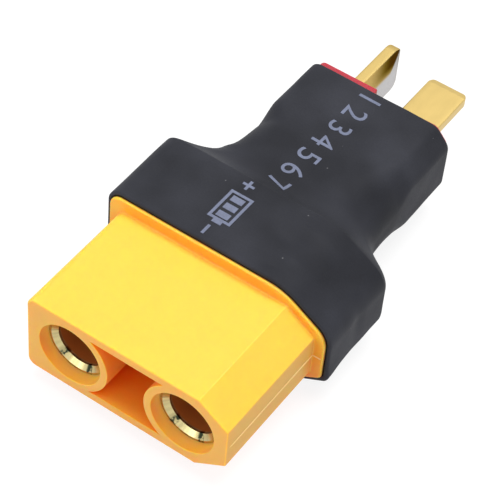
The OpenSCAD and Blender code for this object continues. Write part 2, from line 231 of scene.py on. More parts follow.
def make_grain_group():
    """Fine moulded grain: a cloudy tone from slow noise and a speckle from fast noise, with a height to match."""
    group, enter, leave = new_group(
        "moulded_grain",
        [("Vector", "NodeSocketVector", None), ("Cloud Scale", "NodeSocketFloat", 300.0),
         ("Speckle Scale", "NodeSocketFloat", 4000.0), ("Contrast", "NodeSocketFloat", 0.1)],
        [("Tone", "NodeSocketFloat"), ("Height", "NodeSocketFloat")])
    nodes, links = group.nodes, group.links
    cloud = nodes.new("ShaderNodeTexNoise")
    cloud.inputs["Detail"].default_value = 3
    speckle = nodes.new("ShaderNodeTexNoise")
    speckle.inputs["Detail"].default_value = 2
    links.new(enter.outputs["Vector"], cloud.inputs["Vector"])
    links.new(enter.outputs["Vector"], speckle.inputs["Vector"])
    links.new(enter.outputs["Cloud Scale"], cloud.inputs["Scale"])
    links.new(enter.outputs["Speckle Scale"], speckle.inputs["Scale"])
    both = math_node(nodes, links, "ADD", cloud.outputs["Fac"], speckle.outputs["Fac"])
    centred = math_node(nodes, links, "SUBTRACT", both, 1.0)
    scaled = math_node(nodes, links, "MULTIPLY", centred, enter.outputs["Contrast"])
    links.new(math_node(nodes, links, "ADD", scaled, 1.0), leave.inputs["Tone"])
    links.new(speckle.outputs["Fac"], leave.inputs["Height"])
    return group


def make_hollow_group():
    """Hollow mask: 0 where the view is closed off by less than Start within the reach, 1 where by Full or more."""
    group, enter, leave = new_group(
        "hollow_mask", [("Reach", "NodeSocketFloat", 0.004), ("Start", "NodeSocketFloat", 0.3),
                        ("Full", "NodeSocketFloat", 0.9)],
        [("Mask", "NodeSocketFloat")])
    nodes, links = group.nodes, group.links
    view = nodes.new("ShaderNodeAmbientOcclusion")
    view.samples = 8
    links.new(enter.outputs["Reach"], view.inputs["Distance"])
    closed = math_node(nodes, links, "SUBTRACT", 1.0, view.outputs["AO"])
    ramp = nodes.new("ShaderNodeMapRange")
    links.new(closed, ramp.inputs["Value"])
    links.new(enter.outputs["Start"], ramp.inputs["From Min"])
    links.new(enter.outputs["Full"], ramp.inputs["From Max"])
    links.new(ramp.outputs["Result"], leave.inputs["Mask"])
    return group


def group_node(tree, group, **values):
    node = tree.nodes.new("ShaderNodeGroup")
    node.node_tree = group
    for name, value in values.items():
        node.inputs[name.replace("_", " ")].default_value = value
    return node


def new_material(name):
    material = bpy.data.materials.new(name)
    material.use_nodes = True
    tree = material.node_tree
    shader = tree.nodes["Principled BSDF"]
    coordinates = tree.nodes.new("ShaderNodeTexCoord")
    return material, tree, shader, coordinates.outputs["Object"]


def toned_colour(tree, colour, tone):
    """The base colour times a grey tone that varies over the surface."""
    grey = tree.nodes.new("ShaderNodeCombineColor")
    for socket in grey.inputs:
        tree.links.new(tone, socket)
    return colour_mix(tree.nodes, tree.links, 1.0, tuple(colour), grey.outputs[0], "MULTIPLY")


def add_bump(tree, shader, height, distance, strength):
    bump = tree.nodes.new("ShaderNodeBump")
    bump.inputs["Strength"].default_value = strength
    bump.inputs["Distance"].default_value = distance
    tree.links.new(height, bump.inputs["Height"])
    tree.links.new(bump.outputs["Normal"], shader.inputs["Normal"])


def ramp_along(tree, place, axis, start, end):
    """0 before start and 1 past end along one axis of the frame, in millimetres, with a soft ramp between."""
    split = tree.nodes.new("ShaderNodeSeparateXYZ")
    tree.links.new(place, split.inputs[0])
    ramp = tree.nodes.new("ShaderNodeMapRange")
    ramp.interpolation_type = "SMOOTHSTEP"
    ramp.inputs["From Min"].default_value = start * MM
    ramp.inputs["From Max"].default_value = end * MM
    tree.links.new(split.outputs[axis], ramp.inputs["Value"])
    return ramp.outputs["Result"]


def shoulder_face(tree, place):
    """1 on the flange's front, which looks forward from behind the plug-in part, and 0 on the rest."""
    nodes, links = tree.nodes, tree.links
    geometry = nodes.new("ShaderNodeNewGeometry")
    split = nodes.new("ShaderNodeSeparateXYZ")
    links.new(geometry.outputs["Normal"], split.inputs[0])
    behind = ramp_along(tree, place, 1, FLANGE_Y - 1, FLANGE_Y - 0.3)
    facing = math_node(nodes, links, "MULTIPLY_ADD", split.outputs["Y"], -2.0, -0.6)
    kept = math_node(nodes, links, "MINIMUM", math_node(nodes, links, "MAXIMUM", facing, 0.0), 1.0)
    return math_node(nodes, links, "MULTIPLY", kept, behind)


def shaded_faces(tree, place):
    """1 on the front face and on the sides, which get a painted shade, and 0 on the rest."""
    nodes, links = tree.nodes, tree.links
    geometry = nodes.new("ShaderNodeNewGeometry")
    split = nodes.new("ShaderNodeSeparateXYZ")
    links.new(geometry.outputs["Normal"], split.inputs[0])
    forward = math_node(nodes, links, "MULTIPLY", split.outputs["Y"], -1.0)
    at_front = math_node(nodes, links, "SUBTRACT", forward, ramp_along(tree, place, 1, FACE_Y + 2, FACE_Y + 4))
    sideways = math_node(nodes, links, "ABSOLUTE", split.outputs["X"])
    ramp = nodes.new("ShaderNodeMapRange")
    ramp.inputs["From Min"].default_value = 0.55
    ramp.inputs["From Max"].default_value = 1.0
    links.new(math_node(nodes, links, "MAXIMUM", at_front, sideways), ramp.inputs["Value"])
    return ramp.outputs["Result"]


def yellow_nylon():
    """Yellow plastic with painted light: a tan painted shade on its front face and sides, an orange painted shade with
    bounce light on the flange's front, a deeper orange painted shade in its hollows and a dark brown painted shade
    under the tube's lip.
    """
    material, tree, shader, place = new_material("yellow_nylon")
    settings = bpy.context.scene.adapter_plastic
    nodes, links = tree.nodes, tree.links
    grain = group_node(tree, bpy.data.node_groups["moulded_grain"], Cloud_Scale=260.0, Speckle_Scale=3800.0,
                       Contrast=0.05)
    links.new(place, grain.inputs["Vector"])
    base = toned_colour(tree, settings.yellow, grain.outputs["Tone"])
    # Painted shade: the front face and the sides get the tan colour.
    tan = toned_colour(tree, settings.face_shade_tan, grain.outputs["Tone"])
    shade_painted = colour_mix(nodes, links, shaded_faces(tree, place), base, tan)
    # Painted shade and bounce light: the flange's front gets a deeper orange.
    lit = colour_mix(nodes, links, shoulder_face(tree, place), shade_painted, tuple(settings.shoulder_bounce_orange))
    # Painted shade: hollows turn deep orange by an ambient occlusion mask.
    hollow = group_node(tree, bpy.data.node_groups["hollow_mask"], Reach=0.007, Start=0.25, Full=0.86)
    deep = colour_mix(nodes, links, hollow.outputs["Mask"], lit, tuple(settings.hollow_shade_orange))
    # Painted shade: dark brown where the moulding meets and runs under the tube's lip.
    under_tube_shade = ramp_along(tree, place, 1, TUBE_FRONT_Y - 0.12, TUBE_FRONT_Y + 0.05)
    links.new(colour_mix(nodes, links, under_tube_shade, deep, (0.04, 0.018, 0.006)), shader.inputs["Base Color"])
    shader.inputs["Roughness"].default_value = 0.55
    shader.inputs["Subsurface Weight"].default_value = 1.0
    shader.inputs["Subsurface Radius"].default_value = (1.0, 0.22, 0.03)
    shader.inputs["Subsurface Scale"].default_value = 0.0014
    shader.inputs["Specular IOR Level"].default_value = 0.4
    add_bump(tree, shader, grain.outputs["Height"], 0.00002, 0.25)
    return material


def ridge_nylon():
    """The same nylon where it is drawn out thin, paler and without depth."""
    material, tree, shader, place = new_material("ridge_nylon")
    grain = group_node(tree, bpy.data.node_groups["moulded_grain"], Cloud_Scale=900.0, Speckle_Scale=6000.0,
                       Contrast=0.15)
    tree.links.new(place, grain.inputs["Vector"])
    colour = bpy.context.scene.adapter_plastic.ridge_yellow
    tree.links.new(toned_colour(tree, colour, grain.outputs["Tone"]), shader.inputs["Base Color"])
    shader.inputs["Roughness"].default_value = 0.4
    return material


def red_nylon():
    material, tree, shader, place = new_material("red_nylon")
    settings = bpy.context.scene.adapter_plastic
    grain = group_node(tree, bpy.data.node_groups["moulded_grain"], Cloud_Scale=300.0, Speckle_Scale=4200.0,
                       Contrast=0.12)
    tree.links.new(place, grain.inputs["Vector"])
    tree.links.new(toned_colour(tree, settings.red, grain.outputs["Tone"]), shader.inputs["Base Color"])
    shader.inputs["Roughness"].default_value = 0.4
    shader.inputs["Subsurface Weight"].default_value = 0.25
    shader.inputs["Subsurface Radius"].default_value = (1.0, 0.15, 0.1)
    shader.inputs["Subsurface Scale"].default_value = 0.0008
    add_bump(tree, shader, grain.outputs["Height"], 0.00002, 0.3)
    return material


def plated_gold(name, colour, roughness, contrast, stretch):
    """Plated metal: streaks change its tone and roughness. Returns its tree, shader, place and toned colour too."""
    material, tree, shader, place = new_material(name)
    mapping = tree.nodes.new("ShaderNodeMapping")
    mapping.inputs["Scale"].default_value = stretch
    tree.links.new(place, mapping.inputs["Vector"])
    grain = group_node(tree, bpy.data.node_groups["moulded_grain"], Cloud_Scale=380.0, Speckle_Scale=1800.0,
                       Contrast=contrast)
    tree.links.new(mapping.outputs["Vector"], grain.inputs["Vector"])
    toned = toned_colour(tree, colour, grain.outputs["Tone"])
    tree.links.new(toned, shader.inputs["Base Color"])
    rough = math_node(tree.nodes, tree.links, "MULTIPLY", grain.outputs["Tone"], roughness)
    tree.links.new(rough, shader.inputs["Roughness"])
    shader.inputs["Metallic"].default_value = 1.0
    return material, tree, shader, place, toned


def turn_round_contact(tree, place):
    """The angle round a contact's own axis, in turns from -0.5 to 0.5, with 0 towards +X."""
    nodes, links = tree.nodes, tree.links
    split = nodes.new("ShaderNodeSeparateXYZ")
    links.new(place, split.inputs[0])
    side = math_node(nodes, links, "SIGN", split.outputs["X"])
    across = math_node(nodes, links, "MULTIPLY_ADD", side, -SOCKET_X * MM, split.outputs["X"])
    up = math_node(nodes, links, "SUBTRACT", split.outputs["Z"], MIDDLE_Z * MM)
    return math_node(nodes, links, "DIVIDE", math_node(nodes, links, "ARCTAN2", up, across), math.tau)


def reflection_at_angle(tree, turn, angle, half_width):
    """1 at one angle of the ring, in degrees, fading to 0 at the half width on either side."""
    away = math_node(tree.nodes, tree.links, "ABSOLUTE",
                     math_node(tree.nodes, tree.links, "SUBTRACT", turn, angle / 360))
    ramp = tree.nodes.new("ShaderNodeMapRange")
    ramp.interpolation_type = "SMOOTHSTEP"
    ramp.inputs["From Min"].default_value = half_width / 360
    ramp.inputs["From Max"].default_value = half_width * 0.4 / 360
    tree.links.new(away, ramp.inputs["Value"])
    return ramp.outputs["Result"]


def contact_gold():
    """Bright plating on the rim and its cone with painted reflections, dim olive bands and two dark spots, and a
    painted shade of dark copper brown, with less metal, deeper in the bore.
    """
    settings = bpy.context.scene.adapter_metal
    material, tree, shader, place, toned = plated_gold("plated_contact", settings.gold, 0.24, 0.14, (1.0, 0.2, 1.0))
    nodes, links = tree.nodes, tree.links
    turn = turn_round_contact(tree, place)
    # Painted reflection: dim olive bands by angle round the rim.
    bands = nodes.new("ShaderNodeTexNoise")
    bands.noise_dimensions = "1D"
    bands.inputs["Scale"].default_value = 13.0
    bands.inputs["Detail"].default_value = 2.0
    links.new(turn, bands.inputs["W"])
    reflection_dimmed = nodes.new("ShaderNodeMapRange")
    reflection_dimmed.inputs["From Min"].default_value = 0.38
    reflection_dimmed.inputs["From Max"].default_value = 0.66
    reflection_dimmed.inputs["To Max"].default_value = 0.75
    links.new(bands.outputs["Fac"], reflection_dimmed.inputs["Value"])
    with_reflection_bands = colour_mix(nodes, links, reflection_dimmed.outputs["Result"], toned, tuple(settings.dim_reflection_olive))
    patches = nodes.new("ShaderNodeTexNoise")
    patches.inputs["Scale"].default_value = 2600.0
    patches.inputs["Detail"].default_value = 1.0
    links.new(place, patches.inputs["Vector"])
    broken = nodes.new("ShaderNodeMapRange")
    broken.inputs["From Min"].default_value = 0.40
    broken.inputs["From Max"].default_value = 0.50
    links.new(patches.outputs["Fac"], broken.inputs["Value"])
    # Painted reflection: two dark spots at fixed angles, broken up by noise.
    both = math_node(nodes, links, "ADD", reflection_at_angle(tree, turn, -126, 9), reflection_at_angle(tree, turn, -65, 9))
    rim_dark_reflection = math_node(nodes, links, "MULTIPLY", both, broken.outputs["Result"])
    with_rim_reflections = colour_mix(nodes, links, rim_dark_reflection, with_reflection_bands, tuple(settings.dark_reflection_green))
    # Painted shade: dark brown and less metal deeper in the bore.
    depth = ramp_along(tree, place, 1, FACE_Y + RIM_DEPTH + 0.42, FACE_Y + RIM_DEPTH + 0.75)
    links.new(colour_mix(nodes, links, depth, with_rim_reflections, tuple(settings.bore_shade_brown)), shader.inputs["Base Color"])
    links.new(math_node(nodes, links, "MULTIPLY_ADD", depth, -0.75, 1.0), shader.inputs["Metallic"])
    return material


def flat_blade_gold():
    return plated_gold("plated_flat_blade", bpy.context.scene.adapter_metal.blade_gold, 0.38, 0.10,
                       (1.0, 0.35, 1.0))[0]


def upright_blade_gold():
    """Gold with a painted reflection on its side towards the flat blade: brown above, near the tip, and pale grey below
    the middle.
    """
    settings = bpy.context.scene.adapter_metal
    material, tree, shader, place, toned = plated_gold("plated_upright_blade", settings.blade_gold, 0.38, 0.06,
                                                       (1.0, 0.35, 1.0))
    nodes, links = tree.nodes, tree.links
    geometry = nodes.new("ShaderNodeNewGeometry")
    facing = nodes.new("ShaderNodeSeparateXYZ")
    links.new(geometry.outputs["Normal"], facing.inputs[0])
    # Painted reflection: dark brown on the side facing +X, near the tip and above the middle.
    on_side = math_node(nodes, links, "GREATER_THAN", facing.outputs["X"], 0.8)
    towards_tip = ramp_along(tree, place, 1, PLUG_HIGH[1] + 1.4, TIP_Y - 1.8)
    above = ramp_along(tree, place, 2, MIDDLE_Z - 0.6, MIDDLE_Z + 1.2)
    brown = math_node(nodes, links, "MULTIPLY", math_node(nodes, links, "MULTIPLY", towards_tip, above), on_side)
    with_tip_reflection = colour_mix(nodes, links, math_node(nodes, links, "MULTIPLY", brown, 0.95), toned,
                        tuple(settings.blade_dark_reflection))
    # Painted reflection: pale grey on the side below the middle, its edge rising towards the tip.
    drop = math_node(nodes, links, "MULTIPLY", ramp_along(tree, place, 1, TIP_Y - 2.0, TIP_Y), 2.4 * MM)
    split = nodes.new("ShaderNodeSeparateXYZ")
    links.new(place, split.inputs[0])
    height = math_node(nodes, links, "SUBTRACT", split.outputs["Z"], drop)
    below = nodes.new("ShaderNodeMapRange")
    below.interpolation_type = "SMOOTHSTEP"
    below.inputs["From Min"].default_value = (MIDDLE_Z + 0.35) * MM
    below.inputs["From Max"].default_value = (MIDDLE_Z - 0.25) * MM
    links.new(height, below.inputs["Value"])
    pale = math_node(nodes, links, "MULTIPLY", below.outputs["Result"], on_side)
    # The painted dark reflection also dims the specular tint.
    links.new(colour_mix(nodes, links, brown, (0.60, 0.55, 0.48), (0.38, 0.31, 0.21)), shader.inputs["Specular Tint"])
    links.new(colour_mix(nodes, links, pale, with_tip_reflection, tuple(settings.blade_pale_reflection)), shader.inputs["Base Color"])
    return material


def tinned_solder():
    material, tree, shader, place = new_material("tinned_solder")
    grain = group_node(tree, bpy.data.node_groups["moulded_grain"], Cloud_Scale=700.0, Speckle_Scale=3000.0,
                       Contrast=0.25)
    tree.links.new(place, grain.inputs["Vector"])
    tree.links.new(toned_colour(tree, (0.62, 0.62, 0.60), grain.outputs["Tone"]), shader.inputs["Base Color"])
    shader.inputs["Metallic"].default_value = 1.0
    shader.inputs["Roughness"].default_value = 0.38
    add_bump(tree, shader, grain.outputs["Height"], 0.00005, 0.5)
    return material


def black_tube():
    material, tree, shader, place = new_material("black_shrunk_tube")
    settings = bpy.context.scene.adapter_tube
    nodes, links = tree.nodes, tree.links
    grain = group_node(tree, bpy.data.node_groups["moulded_grain"], Cloud_Scale=400.0, Speckle_Scale=5200.0,
                       Contrast=0.3)
    links.new(place, grain.inputs["Vector"])
    dust = nodes.new("ShaderNodeTexVoronoi")
    dust.inputs["Scale"].default_value = 420.0
    links.new(place, dust.inputs["Vector"])
    fleck = math_node(nodes, links, "LESS_THAN", dust.outputs["Distance"], 0.026)
    patches = nodes.new("ShaderNodeTexNoise")
    patches.inputs["Scale"].default_value = 140.0
    patches.inputs["Detail"].default_value = 2.0
    links.new(place, patches.inputs["Vector"])
    patch = nodes.new("ShaderNodeMapRange")
    patch.inputs["From Min"].default_value = 0.35
    patch.inputs["From Max"].default_value = 0.65
    patch.inputs["To Min"].default_value = 0.72
    patch.inputs["To Max"].default_value = 1.28
    links.new(patches.outputs["Fac"], patch.inputs["Value"])
    tone = math_node(nodes, links, "MULTIPLY", grain.outputs["Tone"], patch.outputs["Result"])
    base = toned_colour(tree, settings.black, tone)
    links.new(colour_mix(nodes, links, math_node(nodes, links, "MULTIPLY", fleck, 0.35), base, (0.30, 0.30, 0.31)),
              shader.inputs["Base Color"])
    rough = math_node(nodes, links, "MULTIPLY", grain.outputs["Tone"], 0.57)
    links.new(rough, shader.inputs["Roughness"])
    shader.inputs["Specular IOR Level"].default_value = 0.10
    add_bump(tree, shader, grain.outputs["Height"], 0.00004, 0.3)
    return material


def pale_ink():
    material, tree, shader, place = new_material("pale_ink")
    settings = bpy.context.scene.adapter_print
    grain = group_node(tree, bpy.data.node_groups["moulded_grain"], Cloud_Scale=1500.0, Speckle_Scale=9000.0,
                       Contrast=0.5)
    tree.links.new(place, grain.inputs["Vector"])
    tree.links.new(toned_colour(tree, settings.ink, grain.outputs["Tone"]), shader.inputs["Base Color"])
    shader.inputs["Roughness"].default_value = 0.6
    return material


# Meshes

def make_piece(name, vertices, faces, material, smooth=True):
    mesh = bpy.data.meshes.new(name)
    mesh.from_pydata(np.asarray(vertices).tolist(), [], [[int(corner) for corner in face] for face in faces])
    mesh.validate()
    mesh.polygons.foreach_set("use_smooth", np.full(len(mesh.polygons), smooth))
    mesh.materials.append(material)
    piece = bpy.data.objects.new(name, mesh)
    bpy.context.scene.collection.objects.link(piece)
    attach(piece, "root")
    return piece


def grid_faces(rows, columns, close_rows=False, close_columns=False):
    """Quads of a grid of points, each joined to the next row and column, as one index array."""
    row_count = rows if close_rows else rows - 1
    column_count = columns if close_columns else columns - 1
    i, j = np.meshgrid(np.arange(row_count), np.arange(column_count), indexing="ij")
    next_i, next_j = (i + 1) % rows, (j + 1) % columns
    return np.stack([i * columns + j, i * columns + next_j, next_i * columns + next_j, next_i * columns + j],
                    axis=-1).reshape(-1, 4)


def square_lower_corner(points):
    """Draws the flange's rounded lower corner out to a nearly square one, along rays from the rounding's centre."""
    turn = math.atan2(KEY_WIDTH, KEY_HEIGHT)
    half_w, half_h = SOCKET_HIGH[0], (SOCKET_HIGH[2] - SOCKET_LOW[2]) / 2
    middle = np.array([half_w - SIDE_ROUND, KEY_HEIGHT - half_h + SIDE_ROUND * math.tan(turn / 2) + MIDDLE_Z])
    away = points[:, [0, 2]] - middle
    angle = np.clip(np.arctan2(-away[:, 1], away[:, 0]), 0, turn)
    corner = (SIDE_ROUND - LOWER_ROUND) / math.cos(turn / 2) + LOWER_ROUND
    reach = np.minimum(SIDE_ROUND / np.maximum(np.cos(angle), np.cos(turn - angle)), corner)
    drawn = ((np.linalg.norm(away, axis=1) > SIDE_ROUND - 0.3) & (angle > 0) & (angle < turn)
             & (points[:, 1] > FLANGE_Y - 0.05) & (points[:, 0] > middle[0]))
    points[:, [0, 2]] = np.where(drawn[:, None], middle + away * (reach / SIDE_ROUND)[:, None], points[:, [0, 2]])
    return points


def softened_copy(node_name, name, passes, material, reshape=None):
    """A CAD node's mesh with its flat facets joined and its edges rounded in passes of (radius, angle, wanted)."""
    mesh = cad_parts[node_name].data.copy()
    mesh.name = name
    shape = bmesh.new()
    shape.from_mesh(mesh)
    bmesh.ops.remove_doubles(shape, verts=shape.verts, dist=2e-6)
    bmesh.ops.dissolve_limit(shape, angle_limit=math.radians(0.4), verts=shape.verts, edges=shape.edges)
    for radius, angle, wanted in passes:
        sharp = [edge for edge in shape.edges
                 if len(edge.link_faces) == 2 and edge.calc_face_angle() > math.radians(angle)
                 and wanted((edge.verts[0].co + edge.verts[1].co) / 2 / MM)]
        bmesh.ops.bevel(shape, geom=sharp, offset=radius * MM, segments=3, profile=0.5, affect="EDGES",
                        clamp_overlap=False)
    bmesh.ops.triangulate(shape, faces=[face for face in shape.faces if len(face.verts) > 4])
    shape.to_mesh(mesh)
    shape.free()
    if reshape:
        flat = np.empty(len(mesh.vertices) * 3)
        mesh.vertices.foreach_get("co", flat)
        mesh.vertices.foreach_set("co", (reshape(flat.reshape(-1, 3) / MM) * MM).ravel())
    mesh.polygons.foreach_set("use_smooth", np.ones(len(mesh.polygons), dtype=bool))
    mesh.set_sharp_from_angle(angle=math.radians(38))
    mesh.materials.clear()
    mesh.materials.append(material)
    piece = bpy.data.objects.new(name, mesh)
    bpy.context.scene.collection.objects.link(piece)
    level_shading = piece.modifiers.new("level_shading", "WEIGHTED_NORMAL")
    level_shading.weight = 100
    level_shading.keep_sharp = True
    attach(piece, "root")
    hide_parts(node_name)
    return piece


class ADAPTER_OT_housings(bpy.types.Operator):
    """Round the edges of the two mouldings and give them their plastics"""
    bl_idname = "adapter.housings"
    bl_label = "Mouldings"

    def execute(self, context):
        settings = context.scene.adapter_plastic

        def outside(place):
            from_socket = math.hypot(abs(place.x) - SOCKET_X, place.z - MIDDLE_Z)
            in_cavity = abs(place.x) < SOCKET_X and abs(place.z - MIDDLE_Z) < SOCKET_RING
            return from_socket > SOCKET_RING and not in_cavity and place.y < REAR_Y - 0.3

        def long_crease(place):
            return outside(place) and FACE_Y + 1 < place.y < FLANGE_Y - 1

        def front_openings(place):
            from_socket = math.hypot(abs(place.x) - SOCKET_X, place.z - MIDDLE_Z)
            inside = abs(place.x) < SOCKET_X or from_socket < SOCKET_RING
            return abs(place.y - FACE_Y) < 0.02 and inside and abs(place.z - MIDDLE_Z) < SOCKET_RING

        softened_copy("socket_housing", "socket_moulding",
                      [(settings.crease_radius, 25, long_crease), (settings.edge_radius, 40, outside),
                       (settings.opening_radius, 40, front_openings)],
                      yellow_nylon(), square_lower_corner)
        softened_copy("plug_housing", "plug_moulding", [(0.12, 40, lambda place: place.y > PLUG_BACK_Y + 1)],
                      red_nylon())
        return {"FINISHED"}


class ADAPTER_OT_contacts(bpy.types.Operator):
    """Give the turned contacts and the soldered links their metals"""
    bl_idname = "adapter.contacts"
    bl_label = "Contacts and links"

    def execute(self, context):
        gold = contact_gold()
        solder = tinned_solder()
        for node_name in ("contact_left", "contact_right"):
            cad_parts[node_name].data.materials[0] = gold
        for node_name in ("link_left", "link_right"):
            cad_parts[node_name].data.materials[0] = solder
        return {"FINISHED"}


def blade_sections(y, width, tip_round, tab_end):
    """Half width and half thickness along a blade: a narrow tab, a full shank, round corners and a round nose."""
    settings = bpy.context.scene.adapter_metal
    thick = settings.blade_thickness / 2
    into_corner = np.clip((y - (TIP_Y - tip_round)) / tip_round, 0, 1)
    half_width = width / 2 - tip_round + tip_round * np.sqrt(1 - into_corner ** 2)
    half_width = np.where(y <= tab_end, settings.tab_width / 2, half_width)
    into_lead = np.clip((y - (TIP_Y - settings.lead_length)) / settings.lead_length, 0, 1)
    into_nose = np.clip((y - (TIP_Y - settings.nose_length)) / settings.nose_length, 0, 1)
    half_thick = (thick - settings.lead_depth * into_lead) * np.sqrt(1 - into_nose ** 2)
    return half_width, np.maximum(half_thick, 0.004)


def blade_mesh(node_name, width, tip_round, upright):
    """Rounded-rectangle sections of the blade carried from the end of its tab to its tip, closed at both ends."""
    low, high = [np.array(corner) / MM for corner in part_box(node_name)]
    middle = (low + high) / 2
    tab_end = PLUG_BACK_Y
    nose = TIP_Y - tip_round * np.cos(np.linspace(0, math.pi / 2, 26))
    y = np.concatenate([[low[1], low[1] + 0.01, tab_end - 0.01, tab_end, tab_end + 0.001], [PLUG_HIGH[1] - 0.5],
                        np.linspace(PLUG_HIGH[1] + 0.2, TIP_Y - tip_round, 24)[:-1], nose])
    half_width, half_thick = blade_sections(y, width, tip_round, tab_end)
    round_share = np.minimum(0.14, np.minimum(half_thick * 0.85, half_width * 0.85))
    angle = np.radians(np.linspace(0, 90, 6))
    across, over = np.sin(angle), np.cos(angle)
    corner_w = (half_width - round_share)[:, None] + round_share[:, None] * across
    corner_t = (half_thick - round_share)[:, None] + round_share[:, None] * over
    side_share = np.linspace(0, 1, 5)[1:-1]
    top_share = np.linspace(-1, 1, 11)[1:-1]
    right_w = np.broadcast_to(half_width[:, None], (len(y), 3))
    right_t = (half_thick - round_share)[:, None] * (1 - 2 * side_share)
    lower_w = (half_width - round_share)[:, None] * -top_share
    lower_t = np.broadcast_to(-half_thick[:, None], (len(y), 9))
    ring_w = np.concatenate([corner_w, right_w, corner_w[:, ::-1], lower_w,
                             -corner_w, -right_w, -corner_w[:, ::-1], -lower_w], axis=1)
    ring_t = np.concatenate([corner_t, right_t, -corner_t[:, ::-1], lower_t,
                             -corner_t, -right_t, corner_t[:, ::-1], -lower_t], axis=1)
    along = np.broadcast_to(y[:, None], ring_w.shape)
    if upright:
        points = np.stack([middle[0] + ring_t, along, middle[2] - ring_w], axis=-1)
    else:
        points = np.stack([middle[0] + ring_w, along, middle[2] + ring_t], axis=-1)
    count = ring_w.shape[1]
    faces = grid_faces(len(y), count, False, True).tolist()
    last = (len(y) - 1) * count
    faces += [list(range(count)), [last + k for k in range(count)][::-1]]
    return points.reshape(-1, 3) * MM, faces


class ADAPTER_OT_blades(bpy.types.Operator):
    """Make the two blades with rounded edges and noses, and plate them"""
    bl_idname = "adapter.blades"
    bl_label = "Blades"

    def execute(self, context):
        settings = context.scene.adapter_metal
        makes = (("blade_upright", "upright_blade", settings.upright_height, settings.upright_round, True,
                  upright_blade_gold()),
                 ("blade_flat", "flat_blade", settings.flat_width, settings.flat_round, False, flat_blade_gold()))
        for node_name, name, width, tip_round, upright, gold in makes:
            vertices, faces = blade_mesh(node_name, width, tip_round, upright)
            piece = make_piece(name, vertices, faces, gold)
            mend_normals(piece)
            piece.data.set_sharp_from_angle(angle=math.radians(50))
            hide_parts(node_name)
        return {"FINISHED"}


# The sections of the shrunk tube, in millimetres from the middle of the tube's width and height

def arc(centre, radius, from_degrees, to_degrees, steps):
    """Points of an arc and their outward normals, at angles measured from straight up towards the side."""
    angle = np.radians(np.linspace(from_degrees, to_degrees, steps))
    outward = np.stack([np.sin(angle), np.cos(angle)], axis=-1)
    return np.asarray(centre) + radius * outward, outward


def keyed_corner(width, height, top_round, side_round, steps):
    """A chamfer with an arc at both ends, as offsets from the corner of the section's box."""
    slope = math.atan2(height, width)
    top = arc((-width - top_round * math.tan(slope / 2), -top_round), top_round, 0, math.degrees(slope), steps)
    side = arc((-side_round, -height - side_round * math.tan(math.pi / 4 - slope / 2)), side_round,
               math.degrees(slope), 90, steps)
    return np.concatenate([top[0], side[0]]), np.concatenate([top[1], side[1]])


def round_corner(radius, steps):
    """A plain round corner with as many points, as offsets from the corner of the section's box."""
    first = arc((-radius, -radius), radius, 0, 43, steps)
    second = arc((-radius, -radius), radius, 47, 90, steps)
    return np.concatenate([first[0], second[0]]), np.concatenate([first[1], second[1]])


def smooth(t):
    """An even ramp from 0 to 1 that starts and ends level."""
    t = np.clip(t, 0, 1)
    return t * t * (3 - 2 * t)


def bump(points, place, reach, height):
    """A soft round hill of the given height, fading as the bell curve of the distance in reaches."""
    away = (points - np.asarray(place)) / np.asarray(reach)
    return height * np.exp(-np.sum(away * away, axis=-1))


def slow_waves(points, seed, length, count=9):
    """A sum of sine waves of random direction and phase, about as long as the given length, from -1 to 1."""
    random = np.random.default_rng(seed)
    turns = random.normal(size=(count, 3))
    turns *= 2 * math.pi / length / np.linalg.norm(turns, axis=1, keepdims=True)
    phases = random.uniform(0, 2 * math.pi, count)
    return np.sin(points @ turns.T + phases).mean(axis=-1)


